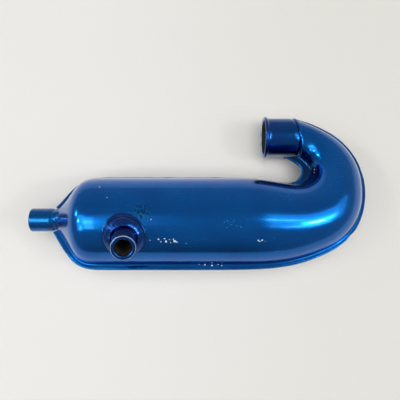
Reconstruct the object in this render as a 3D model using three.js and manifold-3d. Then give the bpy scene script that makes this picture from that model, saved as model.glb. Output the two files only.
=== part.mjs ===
// Small tuned exhaust pipe: a J-shaped expansion chamber pressed as two half shells,
// seam-welded round a narrow flange, with a lipped inlet tube, a short outlet tube,
// a bored hanger boss with a set screw, and the reflector cone and transfer tube inside.
//
// Units are millimetres, +Z up. The pipe lies on its belly and on the lip of the inlet,
// so its seam plane is rolled about X by ROLL. Everything is laid out in the seam frame:
//   x along the chamber, v across it in the seam plane (towards the inlet), w normal to it.
// The seam frame's x axis is the chamber's own axis.

import * as THREE from "three";
import { mergeVertices } from "three/addons/utils/BufferGeometryUtils.js";
import Module from "manifold-3d";

const wasm = await Module();
wasm.setup();

// ---------------------------------------------------------------- driving dimensions
const ROLL = THREE.MathUtils.degToRad(13.2); // seam plane's roll about X as the pipe lies
const CHAMBER_R = 18; // outer radius of the straight chamber
const ORIGIN_X = -0.325; // moves the box's centre onto the origin
const ORIGIN_Y = -13.777;
const ORIGIN_Z = 18.0;

const WALL = 0.7; // sheet thickness
const SEAM_GAP = 0.3; // gap between the two half shells
const BEAD_T = 0.5; // depth of the fused bead on the flange edge
const BEAD_GAP = 0.3;
const BEAD_H = 1.0; // half height of the fused bead

const INLET_V = 39.0; // inlet tube axis, parallel to x
const INLET_X0 = 28.0; // lip face
const JOINT_X = 42.6; // the mitred joint of tube and neck crosses the tube's axis here
const JOINT_TILT = THREE.MathUtils.degToRad(9.5);
const INLET_R = 8.35;
const INLET_BORE_R = 7.45;
const LIP_R = 9.1;

const OUTLET_X = -31.1; // where the outlet axis leaves the chamber axis
const OUTLET_PHI = THREE.MathUtils.degToRad(35.0); // from +w towards -v
const OUTLET_TILT = THREE.MathUtils.degToRad(8.4); // towards +x
const OUTLET_R = 4.45;
const OUTLET_BORE_R = 2.95;
const OUTLET_FROM = 13.6; // distances along its axis from the chamber axis
const OUTLET_TO = 31.0;
const COLLAR_R = 8.2;
const COLLAR_TOP = 21.2;

const BOSS_V = 0.6; // hanger boss axis
const BOSS_X0 = -69.5;
const BOSS_X1 = -57.9;
const BOSS_R = 4.8;
const BOSS_BORE_R = 2.05;
const BOSS_BORE_DEPTH = 9.4;
const SCREW_X = -65.0;
const SCREW_R = 1.4;
const SCREW_HOLE_R = 1.6;
const SCREW_LEN = 3.0;
const SCREW_TOP = 4.3; // outer end of the screw from the boss axis

const CONE_X0 = 8.0; // wide rim of the reflector cone
const CONE_RIM = 3.0;
const CONE_X1 = -14.0; // small end
const CONE_R0 = 16.7;
const CONE_R1 = 4.65;
const CONE_T = 0.8;
const TRANSFER_R = 3.5;
const TRANSFER_BORE_R = 2.6;
const TRANSFER_X0 = -24.0;
const TRANSFER_X1 = -10.5;

// Sections from the closed cone, along the chamber and round the bend to the neck.
// Each row: outer edge x v, inner edge x v, outer bead tip x v, inner bead tip x v, and the
// section's half height over its half width.
const SECTIONS = [
  [-57.6, -4.6, -57.6, 5.8, -60.3, -4.6, -60.3, 5.8, 1],
  [-55.6, -7.0, -55.6, 7.6, -58.2, -7.8, -58.3, 8.0, 1],
  [-53.4, -10.0, -53.4, 10.2, -56.0, -10.9, -56.3, 11.0, 1],
  [-51.2, -13.1, -51.2, 13.1, -53.7, -14.0, -54.0, 13.9, 1],
  [-48.9, -16.0, -48.9, 16.0, -50.9, -17.2, -51.0, 17.0, 1],
  [-46.0, -17.6, -46.0, 17.6, -46.9, -19.6, -46.9, 19.1, 1],
  [-42.0, -18.0, -42.0, 18.0, -42.0, -20.3, -42.0, 19.6, 1],
  [-36.0, -18.0, -36.0, 18.0, -36.0, -20.3, -36.0, 19.6, 1],
  [-24.0, -18.0, -24.0, 18.0, -24.0, -20.3, -24.0, 19.6, 1],
  [-12.0, -18.0, -12.0, 18.0, -12.0, -20.3, -12.0, 19.6, 1],
  [0.0, -18.0, 0.0, 18.0, 0.0, -20.3, 0.0, 19.6, 1],
  [9.0, -18.0, 9.0, 18.0, 9.0, -20.3, 9.0, 19.6, 1],
  [17.0, -18.0, 17.0, 18.0, 17.1, -20.2, 17.0, 19.5, 1],
  [24.0, -17.9, 23.6, 17.6, 24.2, -20.0, 23.6, 19.1, 1],
  [31.0, -17.4, 29.4, 16.7, 31.3, -19.4, 29.4, 18.3, 1],
  [38.4, -16.1, 34.6, 15.8, 39.0, -18.1, 34.6, 17.4, 1],
  [45.8, -13.8, 39.0, 15.2, 46.5, -15.6, 38.2, 16.9, 1],
  [52.8, -10.9, 42.6, 15.6, 53.7, -12.5, 40.6, 17.6, 1],
  [59.0, -7.0, 45.3, 17.0, 60.2, -8.2, 42.4, 19.2, 1],
  [63.8, -1.5, 47.0, 19.0, 65.3, -2.3, 43.5, 21.0, 1],
  [66.8, 5.0, 47.8, 21.0, 68.4, 4.5, 43.9, 22.6, 1],
  [68.2, 12.0, 47.9, 22.6, 70.1, 12.0, 43.7, 23.9, 1],
  [68.3, 19.0, 47.6, 23.9, 70.3, 19.0, 43.2, 24.7, 1],
  [67.0, 25.5, 47.1, 25.0, 69.0, 26.1, 42.5, 25.5, 1],
  [64.3, 31.3, 46.5, 25.9, 66.2, 32.4, 41.6, 26.3, 1],
  [60.3, 36.4, 45.9, 26.7, 62.0, 37.8, 40.6, 27.1, 1],
  [54.8, 40.9, 45.3, 27.3, 56.1, 42.5, 39.5, 27.8, 1.005],
  [48.2, 44.6, 44.9, 27.8, 49.0, 46.2, 38.2, 28.6, 0.975],
  [41.4, 47.1, 44.5, 28.2, 41.7, 48.6, 36.8, 29.3, 0.872],
];

// Places along SECTIONS where a ring of the mesh stands.
const STATIONS = [0, 0.7, 1.4, 2.1, 2.8, 3.5, 4.0, 4.5, 5.0, 5.6, 6.4, 9, 12];
for (let i = 1; i <= 25; i++) STATIONS.push(12 + (16 * i) / 25);

// ---------------------------------------------------------------- helpers
// Uniform cubic B-spline through the table that starts and ends on its first and last row.
function sectionAt(t) {
  const n = SECTIONS.length;
  const row = (i) => {
    if (i < 0) return SECTIONS[0].map((a, k) => 2 * a - SECTIONS[1][k]);
    if (i >= n) return SECTIONS[n - 1].map((a, k) => 2 * a - SECTIONS[n - 2][k]);
    return SECTIONS[i];
  };
  const i = Math.min(Math.floor(t), n - 2);
  const f = t - i;
  const b = [
    (1 - f) ** 3 / 6,
    (3 * f ** 3 - 6 * f ** 2 + 4) / 6,
    (-3 * f ** 3 + 3 * f ** 2 + 3 * f + 1) / 6,
    f ** 3 / 6,
  ];
  const rows = [row(i - 1), row(i), row(i + 1), row(i + 2)];
  const s = rows[0].map((_, k) => b.reduce((a, w, j) => a + w * rows[j][k], 0));
  const outer = new THREE.Vector2(s[0], s[1]);
  const inner = new THREE.Vector2(s[2], s[3]);
  const centre = outer.clone().add(inner).multiplyScalar(0.5);
  const across = outer.clone().sub(inner);
  const r = across.length() / 2;
  across.normalize();
  return {
    outer,
    inner,
    centre,
    across,
    r,
    rw: r * s[8],
    outerTip: new THREE.Vector2(s[4], s[5]),
    innerTip: new THREE.Vector2(s[6], s[7]),
  };
}

// A point between an edge and its bead tip, back from the tip by a given amount.
function backFromTip(edge, tip, back) {
  const d = tip.clone().sub(edge);
  const length = d.length();
  return edge.clone().add(d.multiplyScalar((length - back) / length));
}

// Positions only, shared vertices merged, faces turned to point out.
function closedMesh(geometry) {
  const g = new THREE.BufferGeometry();
  const source = geometry.index ? geometry.toNonIndexed() : geometry;
  g.setAttribute("position", source.getAttribute("position").clone());
  const m = mergeVertices(g, 1e-4);
  const p = m.attributes.position;
  const kept = [];
  let volume = 0;
  const a = new THREE.Vector3(), b = new THREE.Vector3(), c = new THREE.Vector3();
  for (let i = 0; i < m.index.count; i += 3) {
    const [i0, i1, i2] = [m.index.getX(i), m.index.getX(i + 1), m.index.getX(i + 2)];
    if (i0 === i1 || i1 === i2 || i0 === i2) continue;
    a.fromBufferAttribute(p, i0);
    b.fromBufferAttribute(p, i1);
    c.fromBufferAttribute(p, i2);
    volume += a.dot(b.cross(c)) / 6;
    kept.push(i0, i1, i2);
  }
  if (volume < 0)
    for (let i = 0; i < kept.length; i += 3)
      [kept[i + 1], kept[i + 2]] = [kept[i + 2], kept[i + 1]];
  m.setIndex(kept);
  return m;
}

function toSolid(geometry, matrix) {
  const g = closedMesh(geometry);
  if (matrix) g.applyMatrix4(matrix);
  return new wasm.Manifold(
    new wasm.Mesh({
      numProp: 3,
      vertProperties: new Float32Array(g.attributes.position.array),
      triVerts: new Uint32Array(g.index.array),
    })
  );
}

function fromSolid(solid) {
  const m = solid.getMesh();
  const g = new THREE.BufferGeometry();
  const xyz = new Float32Array(m.numVert * 3);
  for (let i = 0; i < m.numVert; i++)
    for (let k = 0; k < 3; k++) xyz[3 * i + k] = m.vertProperties[m.numProp * i + k];
  g.setAttribute("position", new THREE.BufferAttribute(xyz, 3));
  g.setIndex(new THREE.BufferAttribute(new Uint32Array(m.triVerts), 1));
  return g;
}

// A closed outline swept through every station: place(k, station) puts its k-th point.
function sweep(outline, place) {
  const n = STATIONS.length;
  const shape = new THREE.Shape(outline.map(([x, y]) => new THREE.Vector2(x, y)));
  const g = new THREE.ExtrudeGeometry(shape, {
    depth: n - 1,
    steps: n - 1,
    bevelEnabled: false,
  });
  const key = (x, y) => Math.round(x * 1000) + "," + Math.round(y * 1000);
  const index = new Map(outline.map(([x, y], k) => [key(x, y), k]));
  const sections = STATIONS.map(sectionAt);
  const p = g.attributes.position;
  for (let i = 0; i < p.count; i++) {
    const k = index.get(key(p.getX(i), p.getY(i)));
    const q = place(k, sections[Math.round(p.getZ(i))]);
    p.setXYZ(i, q[0], q[1], q[2]);
  }
  return closedMesh(g);
}

// ---------------------------------------------------------------- half shells
const OUTER_STEPS = 12;
const INNER_STEPS = 10;

// Outline of a half shell's section: tip, over the dome, tip, and back under it.
function halfShell(side) {
  const g0 = SEAM_GAP / 2;
  const g1 = g0 + WALL;
  const outline = [];
  const kinds = [];
  const add = (kind, u, w) => {
    kinds.push(kind);
    outline.push([u, w]);
  };
  add(["outerTip", g0], 13, 0.2);
  add(["outerTip", g1], 13, 1.2);
  for (let i = 0; i <= OUTER_STEPS; i++) {
    const a = 0.12 + ((Math.PI - 0.24) * i) / OUTER_STEPS;
    add(["dome", i / OUTER_STEPS], 10 * Math.cos(a), 10 * Math.sin(a));
  }
  add(["innerTip", g1], -13, 1.2);
  add(["innerTip", g0], -13, 0.2);
  add(["innerRoot", g0], -10, 0.35);
  for (let i = 0; i <= INNER_STEPS; i++) {
    const a = Math.PI - 0.022 - ((Math.PI - 0.044) * i) / INNER_STEPS;
    add(["under", i / INNER_STEPS], 9.1 * Math.cos(a), 9.1 * Math.sin(a));
  }
  add(["outerRoot", g0], 10, 0.35);
  return sweep(outline, (k, s) => {
    const [kind, value] = kinds[k];
    let u, w;
    if (kind === "outerRoot") return [s.outer.x, s.outer.y, side * value];
    if (kind === "innerRoot") return [s.inner.x, s.inner.y, side * value];
    if (kind === "outerTip" || kind === "innerTip") {
      const edge = kind === "outerTip" ? s.outer : s.inner;
      const tip = backFromTip(
        edge,
        kind === "outerTip" ? s.outerTip : s.innerTip,
        BEAD_T + BEAD_GAP
      );
      return [tip.x, tip.y, side * value];
    }
    if (kind === "dome") {
      const a0 = Math.asin(g1 / s.rw);
      const a = a0 + (Math.PI - 2 * a0) * value;
      u = s.r * Math.cos(a);
      w = s.rw * Math.sin(a);
    } else {
      const a0 = Math.asin(g0 / (s.rw - WALL));
      const a = Math.PI - a0 - (Math.PI - 2 * a0) * value;
      u = (s.r - WALL) * Math.cos(a);
      w = (s.rw - WALL) * Math.sin(a);
    }
    return [s.centre.x + s.across.x * u, s.centre.y + s.across.y * u, side * w];
  });
}

// The fused bead along a flange edge: a half-round strip just off the two flange tips.
function seamBead(side) {
  const outline = [
    [0, -0.8],
    [0.25, -1.0],
    [0.75, -0.7],
    [1, 0],
    [0.75, 0.7],
    [0.25, 1.0],
    [0, 0.8],
  ];
  return sweep(outline, (k, s) => {
    const edge = side === "outer" ? s.outer : s.inner;
    const tip = side === "outer" ? s.outerTip : s.innerTip;
    const q = backFromTip(edge, tip, BEAD_T * (1 - outline[k][0]));
    return [q.x, q.y, outline[k][1] * BEAD_H];
  });
}

// ---------------------------------------------------------------- turned pieces
// Lathe profiles are [radius, distance along the axis]; the lathe's axis is Y.
const lathe = (profile, segments) =>
  new THREE.LatheGeometry(
    profile.map(([r, y]) => new THREE.Vector2(r, y)),
    segments
  );
const closedLathe = (profile, segments) => lathe([...profile, profile[0]], segments);

// Takes the lathe's Y axis onto +x of the seam frame, at height v.
const alongX = (v) =>
  new THREE.Matrix4()
    .makeTranslation(0, v, 0)
    .multiply(new THREE.Matrix4().makeRotationZ(-Math.PI / 2));

// The outlet's axis in the seam frame.
const outletAxis = new THREE.Vector3(
  Math.sin(OUTLET_TILT),
  -Math.sin(OUTLET_PHI) * Math.cos(OUTLET_TILT),
  Math.cos(OUTLET_PHI) * Math.cos(OUTLET_TILT)
);
const outletMatrix = new THREE.Matrix4()
  .makeTranslation(OUTLET_X, 0, 0)
  .multiply(
    new THREE.Matrix4().makeRotationFromQuaternion(
      new THREE.Quaternion().setFromUnitVectors(new THREE.Vector3(0, 1, 0), outletAxis)
    )
  );

// Everything on the tube's side of the mitred joint, back from it by a given gap.
const tubeSide = (gap) =>
  toSolid(
    new THREE.BoxGeometry(60, 60, 60),
    new THREE.Matrix4()
      .makeTranslation(JOINT_X, INLET_V, 0)
      .multiply(new THREE.Matrix4().makeRotationZ(JOINT_TILT))
      .multiply(new THREE.Matrix4().makeTranslation(-30 - gap, 0, 0))
  );

function inletTube() {
  const tube = toSolid(
    closedLathe(
      [
        [INLET_BORE_R, INLET_X0 + 20],
        [INLET_R, INLET_X0 + 20],
        [INLET_R, INLET_X0 + 1.55],
        [LIP_R - 0.35, INLET_X0 + 1.3],
        [LIP_R, INLET_X0 + 0.9],
        [LIP_R, INLET_X0 + 0.45],
        [LIP_R - 0.3, INLET_X0],
        [INLET_BORE_R + 0.3, INLET_X0],
        [INLET_BORE_R, INLET_X0 + 0.35],
      ],
      36
    ),
    alongX(INLET_V)
  );
  return fromSolid(tube.intersect(tubeSide(0.6)));
}

// A low bead round the inlet tube's mitred end, against the end of the neck.
function inletBead() {
  const ring = toSolid(
    closedLathe(
      [
        [INLET_R + 0.3, INLET_X0 + 11.2],
        [INLET_R + 0.3, INLET_X0 + 20],
        [INLET_R + 0.75, INLET_X0 + 20],
        [INLET_R + 0.75, INLET_X0 + 11.2],
      ].reverse(),
      36
    ),
    alongX(INLET_V)
  );
  return fromSolid(ring.intersect(tubeSide(0.3)).subtract(tubeSide(2.2)));
}

const outletTube = () =>
  closedLathe(
    [
      [OUTLET_BORE_R, OUTLET_FROM],
      [OUTLET_BORE_R, OUTLET_TO - 0.3],
      [OUTLET_BORE_R + 0.3, OUTLET_TO],
      [OUTLET_R - 0.25, OUTLET_TO],
      [OUTLET_R, OUTLET_TO - 0.25],
      [OUTLET_R, OUTLET_FROM],
    ].reverse(),
    28
  );

// The collar of weld round the outlet's foot, cut to sit on the chamber.
function outletBead() {
  const ring = toSolid(
    closedLathe(
      [
        [OUTLET_R + 0.3, 14],
        [OUTLET_R + 0.3, COLLAR_TOP],
        [OUTLET_R + 1.3, COLLAR_TOP - 0.35],
        [COLLAR_R - 1.2, COLLAR_TOP - 1.5],
        [COLLAR_R - 0.3, COLLAR_TOP - 2.7],
        [COLLAR_R, COLLAR_TOP - 3.7],
        [COLLAR_R, 14],
      ].reverse(),
      32
    ),
    outletMatrix
  );
  const chamber = toSolid(
    new THREE.CylinderGeometry(CHAMBER_R + 0.3, CHAMBER_R + 0.3, 60, 96),
    new THREE.Matrix4().makeTranslation(OUTLET_X, 0, 0).multiply(alongX(0))
  );
  return fromSolid(ring.subtract(chamber));
}

// The hanger boss: a turned bar with a blind bore and a cross hole for the set screw.
function hangerBoss() {
  const bar = toSolid(
    lathe(
      [
        [0, BOSS_X0 + BOSS_BORE_DEPTH],
        [BOSS_BORE_R, BOSS_X0 + BOSS_BORE_DEPTH],
        [BOSS_BORE_R, BOSS_X0 + 0.4],
        [BOSS_BORE_R + 0.4, BOSS_X0],
        [BOSS_R - 0.6, BOSS_X0],
        [BOSS_R, BOSS_X0 + 0.6],
        [BOSS_R, BOSS_X1],
        [0, BOSS_X1],
      ].reverse(),
      32
    ),
    alongX(BOSS_V)
  );
  const hole = toSolid(
    new THREE.CylinderGeometry(SCREW_HOLE_R, SCREW_HOLE_R, 6, 20),
    new THREE.Matrix4().makeTranslation(SCREW_X, BOSS_V + 3.6, 0)
  );
  return fromSolid(bar.subtract(hole));
}

// The set screw, its own +Y pointing out of the hole, with a hexagon socket.
function setScrew() {
  const body = toSolid(
    lathe(
      [
        [0, -SCREW_LEN],
        [0.7, -SCREW_LEN],
        [SCREW_R, -SCREW_LEN + 0.6],
        [SCREW_R, -0.2],
        [SCREW_R - 0.2, 0],
        [0, 0],
      ],
      20
    )
  );
  const socket = toSolid(
    new THREE.CylinderGeometry(0.87, 0.87, 2, 6),
    new THREE.Matrix4().makeTranslation(0, -0.5, 0)
  );
  return fromSolid(body.subtract(socket));
}

// One of the two weld runs round the boss's foot, between the flanges.
function bossBead(side) {
  const ring = toSolid(
    closedLathe(
      [
        [BOSS_R + 0.25, -59.7],
        [BOSS_R + 0.9, -59.3],
        [BOSS_R + 1.35, -58.6],
        [BOSS_R + 1.35, -57.9],
        [BOSS_R + 0.25, -57.9],
      ].reverse(),
      32
    ),
    alongX(BOSS_V)
  );
  const keep = toSolid(
    new THREE.BoxGeometry(10, 30, 12),
    new THREE.Matrix4().makeTranslation(-59, BOSS_V, side * (6 + 1.35))
  );
  return fromSolid(ring.intersect(keep));
}

const reflectorCone = () => {
  const slope = (CONE_R0 - CONE_R1) / (CONE_X0 - CONE_RIM - CONE_X1);
  const inner = CONE_T * Math.hypot(1, slope);
  return closedLathe(
    [
      [CONE_R0, CONE_X0],
      [CONE_R0 - CONE_T, CONE_X0],
      [CONE_R0 - CONE_T, CONE_X0 - CONE_RIM - 0.3],
      [CONE_R1 - CONE_T, CONE_X1 + (inner - CONE_T) / slope],
      [CONE_R1 - CONE_T, CONE_X1],
      [CONE_R1, CONE_X1],
      [CONE_R0, CONE_X0 - CONE_RIM],
    ],
    36
  );
};

const transferTube = () =>
  closedLathe(
    [
      [TRANSFER_BORE_R, TRANSFER_X0],
      [TRANSFER_BORE_R, TRANSFER_X1],
      [TRANSFER_R, TRANSFER_X1],
      [TRANSFER_R, TRANSFER_X0],
    ].reverse(),
    24
  );

const transferBraze = () =>
  closedLathe(
    [
      [TRANSFER_R + 0.3, CONE_X1 - 1.7],
      [TRANSFER_R + 0.3, CONE_X1 - 0.3],
      [TRANSFER_R + 1.3, CONE_X1 - 0.3],
      [TRANSFER_R + 0.8, CONE_X1 - 1.1],
    ].reverse(),
    24
  );

// ---------------------------------------------------------------- materials
const material = (color, roughness, metalness) =>
  new THREE.MeshStandardMaterial({ color, roughness, metalness });
const candyBlue = () => material(0x0b4f96, 0.16, 0.9);
const candyTube = () => material(0x0d3f86, 0.2, 0.9);
const weldBlue = () => material(0x1b3c86, 0.3, 0.9);
const tintedWeld = () => material(0x2c2a78, 0.28, 0.9);
const blackOxide = () => material(0x17181b, 0.45, 0.8);
const bareSheet = () => material(0x9a9da2, 0.42, 0.95);
const brazeMetal = () => material(0xb08a4a, 0.4, 0.95);

// ---------------------------------------------------------------- assembly
const pipe = new THREE.Group(); // the seam frame
function add(name, geometry, mat, matrix) {
  const mesh = new THREE.Mesh(closedMesh(geometry), mat);
  mesh.name = name;
  if (matrix) mesh.applyMatrix4(matrix);
  pipe.add(mesh);
  return mesh;
}

// The upper half is holed for the outlet tube.
const outletHole = toSolid(
  new THREE.CylinderGeometry(OUTLET_R + 0.3, OUTLET_R + 0.3, 14, 28),
  outletMatrix.clone().multiply(new THREE.Matrix4().makeTranslation(0, 18, 0))
);
add("upper_shell", fromSolid(toSolid(halfShell(1)).subtract(outletHole)), candyBlue());
add("lower_shell", halfShell(-1), candyBlue());
add("outer_seam_weld", seamBead("outer"), weldBlue());
add("inner_seam_weld", seamBead("inner"), weldBlue());

add("inlet_tube", inletTube(), candyTube());
add("inlet_weld_bead", inletBead(), weldBlue());

add("outlet_tube", outletTube(), tintedWeld(), outletMatrix);
add("outlet_weld_bead", outletBead(), tintedWeld());

add("hanger_boss", hangerBoss(), candyTube());
add("boss_weld_upper", bossBead(1), weldBlue());
add("boss_weld_lower", bossBead(-1), weldBlue());
add(
  "grub_screw",
  setScrew(),
  blackOxide(),
  new THREE.Matrix4().makeTranslation(SCREW_X, BOSS_V + SCREW_TOP, 0)
);

add("reflector_cone", reflectorCone(), bareSheet(), alongX(0));
add("transfer_tube", transferTube(), bareSheet(), alongX(0));
add("transfer_tube_braze", transferBraze(), brazeMetal(), alongX(0));
[-150, -90, -30].forEach((degrees, i) => {
  const a = THREE.MathUtils.degToRad(degrees);
  add(
    "cone_tack_weld_" + (i + 1),
    new THREE.SphereGeometry(0.8, 10, 6),
    brazeMetal(),
    new THREE.Matrix4().makeTranslation(CONE_X0 + 1.15, 15.95 * Math.cos(a), 15.95 * Math.sin(a))
  );
});

pipe.rotation.x = -ROLL;
pipe.position.set(ORIGIN_X, ORIGIN_Y, ORIGIN_Z);

const exhaust = new THREE.Group();
exhaust.add(pipe);

export default exhaust;
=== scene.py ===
# Small tuned exhaust pipe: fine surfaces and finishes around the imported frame.
import math
import random

import bmesh
import bpy
import numpy as np
from mathutils import Matrix, Vector, noise


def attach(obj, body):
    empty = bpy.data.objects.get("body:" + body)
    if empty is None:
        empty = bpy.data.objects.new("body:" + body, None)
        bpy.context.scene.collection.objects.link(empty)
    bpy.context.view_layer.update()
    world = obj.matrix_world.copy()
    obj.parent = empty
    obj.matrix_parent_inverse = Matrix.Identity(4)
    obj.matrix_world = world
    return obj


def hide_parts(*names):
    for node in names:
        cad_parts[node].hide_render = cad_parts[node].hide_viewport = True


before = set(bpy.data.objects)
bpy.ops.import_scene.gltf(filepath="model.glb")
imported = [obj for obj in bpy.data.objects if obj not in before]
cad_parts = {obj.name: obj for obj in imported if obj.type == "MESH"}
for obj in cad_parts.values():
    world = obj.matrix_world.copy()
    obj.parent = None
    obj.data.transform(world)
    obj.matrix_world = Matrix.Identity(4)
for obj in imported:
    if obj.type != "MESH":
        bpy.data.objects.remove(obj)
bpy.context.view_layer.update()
random.seed(7)
rng = np.random.default_rng(7)

# ------------------------------------------------------------------ frame of the pipe
# Lengths are in millimetres until put() takes them to metres in the row frame.
ROLL = math.radians(13.2)
ORIGIN = np.array([-0.325, -13.777, 18.0])
CHAMBER_R = 18.0
WALL = 0.7
FLANGE_T = 0.8

INLET_V, INLET_X0, INLET_R, INLET_BORE_R, LIP_R = 39.0, 28.0, 8.35, 7.5, 9.1
JOINT_X, JOINT_TILT = 42.6, math.radians(9.5)
OUTLET_X, OUTLET_PHI, OUTLET_TILT = -31.1, math.radians(35.0), math.radians(8.4)
OUTLET_R, OUTLET_BORE_R, OUTLET_TO = 4.45, 2.95, 31.0
BOSS_V, BOSS_X0, BOSS_X1, BOSS_R, BOSS_BORE_R, BOSS_DEPTH = 0.6, -69.5, -57.9, 4.8, 2.05, 9.4
SCREW_X, SCREW_R, SCREW_LEN, SCREW_TOP = -65.0, 1.4, 3.0, 4.3

SECTIONS = np.array([
    [-57.6, -4.6, -57.6, 5.8, -60.3, -4.6, -60.3, 5.8, 1],
    [-55.6, -7.0, -55.6, 7.6, -58.2, -7.8, -58.3, 8.0, 1],
    [-53.4, -10.0, -53.4, 10.2, -56.0, -10.9, -56.3, 11.0, 1],
    [-51.2, -13.1, -51.2, 13.1, -53.7, -14.0, -54.0, 13.9, 1],
    [-48.9, -16.0, -48.9, 16.0, -50.9, -17.2, -51.0, 17.0, 1],
    [-46.0, -17.6, -46.0, 17.6, -46.9, -19.6, -46.9, 19.1, 1],
    [-42.0, -18.0, -42.0, 18.0, -42.0, -20.3, -42.0, 19.6, 1],
    [-36.0, -18.0, -36.0, 18.0, -36.0, -20.3, -36.0, 19.6, 1],
    [-24.0, -18.0, -24.0, 18.0, -24.0, -20.3, -24.0, 19.6, 1],
    [-12.0, -18.0, -12.0, 18.0, -12.0, -20.3, -12.0, 19.6, 1],
    [0.0, -18.0, 0.0, 18.0, 0.0, -20.3, 0.0, 19.6, 1],
    [9.0, -18.0, 9.0, 18.0, 9.0, -20.3, 9.0, 19.6, 1],
    [17.0, -18.0, 17.0, 18.0, 17.1, -20.2, 17.0, 19.5, 1],
    [24.0, -17.9, 23.6, 17.6, 24.2, -20.0, 23.6, 19.1, 1],
    [31.0, -17.4, 29.4, 16.7, 31.3, -19.4, 29.4, 18.3, 1],
    [38.4, -16.1, 34.6, 15.8, 39.0, -18.1, 34.6, 17.4, 1],
    [45.8, -13.8, 39.0, 15.2, 46.5, -15.6, 38.2, 16.9, 1],
    [52.8, -10.9, 42.6, 15.6, 53.7, -12.5, 40.6, 17.6, 1],
    [59.0, -7.0, 45.3, 17.0, 60.2, -8.2, 42.4, 19.2, 1],
    [63.8, -1.5, 47.0, 19.0, 65.3, -2.3, 43.5, 21.0, 1],
    [66.8, 5.0, 47.8, 21.0, 68.4, 4.5, 43.9, 22.6, 1],
    [68.2, 12.0, 47.9, 22.6, 70.1, 12.0, 43.7, 23.9, 1],
    [68.3, 19.0, 47.6, 23.9, 70.3, 19.0, 43.2, 24.7, 1],
    [67.0, 25.5, 47.1, 25.0, 69.0, 26.1, 42.5, 25.5, 1],
    [64.3, 31.3, 46.5, 25.9, 66.2, 32.4, 41.6, 26.3, 1],
    [60.3, 36.4, 45.9, 26.7, 62.0, 37.8, 40.6, 27.1, 1],
    [54.8, 40.9, 45.3, 27.3, 56.1, 42.5, 39.5, 27.8, 1.005],
    [48.2, 44.6, 44.9, 27.8, 49.0, 46.2, 38.2, 28.6, 0.975],
    [41.4, 47.1, 44.5, 28.2, 41.7, 48.6, 36.8, 29.3, 0.872],
])


def put(p):
    """Seam frame (x, v, w) in mm to the row frame in metres."""
    p = np.asarray(p, float)
    c, s = math.cos(ROLL), math.sin(ROLL)
    x, v, w = p[..., 0], p[..., 1], p[..., 2]
    q = np.stack([x, v * c + w * s, -v * s + w * c], -1) + ORIGIN
    return q / 1000.0


def spline(t):
    """Uniform cubic B-spline through SECTIONS that starts and ends on its first and last row."""
    t = np.atleast_1d(np.asarray(t, float))
    S = np.vstack([2 * SECTIONS[0] - SECTIONS[1], SECTIONS, 2 * SECTIONS[-1] - SECTIONS[-2]])
    i = np.clip(np.floor(t).astype(int), 0, len(SECTIONS) - 2)
    f = (t - i)[:, None]
    return ((1 - f) ** 3 * S[i] + (3 * f ** 3 - 6 * f ** 2 + 4) * S[i + 1]
            + (-3 * f ** 3 + 3 * f ** 2 + 3 * f + 1) * S[i + 2] + f ** 3 * S[i + 3]) / 6


def smooth(a, b, x):
    t = np.clip((np.asarray(x, float) - a) / (b - a), 0, 1)
    return t * t * (3 - 2 * t)


def unit(a):
    return a / np.linalg.norm(a, axis=-1, keepdims=True)


def fbm(p, scale, octaves=3, seed=0.0):
    """Smooth noise at mm points, about -1 to 1."""
    flat = np.asarray(p, float).reshape(-1, 3)
    out = np.empty(len(flat))
    for k, q in enumerate(flat):
        a, f, s = 1.0, 1.0, 0.0
        for _ in range(octaves):
            s += a * noise.noise(Vector((q[0] * f / scale + seed, q[1] * f / scale - seed, q[2] * f / scale + 3.1 * seed)))
            a *= 0.5
            f *= 2.03
        out[k] = s
    return out.reshape(np.asarray(p).shape[:-1])


# ------------------------------------------------------------------ mesh helpers
def object_from(name, verts, faces, angle=40):
    me = bpy.data.meshes.new(name)
    me.from_pydata([tuple(v) for v in verts], [], faces)
    me.validate()
    me.update()
    me.shade_smooth()
    if angle:
        me.set_sharp_from_angle(angle=math.radians(angle))
    ob = bpy.data.objects.new(name, me)
    bpy.context.scene.collection.objects.link(ob)
    return ob


def signed_volume(verts, faces):
    total = 0.0
    for f in faces:
        for k in range(1, len(f) - 1):
            a, b, c = verts[f[0]], verts[f[k]], verts[f[k + 1]]
            total += np.dot(a, np.cross(b, c)) / 6
    return total


def grid(name, P, ring=True, loop=False, cap=None, angle=40, extra_caps=None):
    """A mesh from points P[n, m]: each row a closed ring of m points. The rows' ends are capped
    with one polygon each, or the rows join into a loop. Faces are turned to point out."""
    n, m = P.shape[:2]
    verts = put(P.reshape(-1, 3))
    faces = []
    rows = n if loop else n - 1
    for i in range(rows):
        a, b = i * m, ((i + 1) % n) * m
        for j in range(m if ring else m - 1):
            k = (j + 1) % m
            faces.append((a + j, a + k, b + k, b + j))
    if not loop and cap != "none":
        faces.append(tuple(range(m))[::-1])
        faces.append(tuple(range((n - 1) * m, n * m)))
    V = verts - verts.mean(0)
    if signed_volume(V, faces) < 0:
        faces = [tuple(reversed(f)) for f in faces]
    return object_from(name, verts, faces, angle)


def turned(name, profile, frame_of, segments=96, wobble=None, angle=35):
    """A closed profile [(radius, distance)] turned round an axis. frame_of = (origin, axis, e1, e2)."""
    o, a, e1, e2 = [np.asarray(x, float) for x in frame_of]
    profile = np.asarray(profile, float)
    ps = np.linspace(0, 2 * math.pi, segments, endpoint=False)
    P = np.empty((segments, len(profile), 3))
    for i, t in enumerate(ps):
        e = math.cos(t) * e1 + math.sin(t) * e2
        r, d = profile[:, 0].copy(), profile[:, 1].copy()
        if wobble:
            r, d = wobble(r, d, t)
        P[i] = o + d[:, None] * a + r[:, None] * e
    return grid(name, P, ring=True, loop=True, angle=angle)


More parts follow.
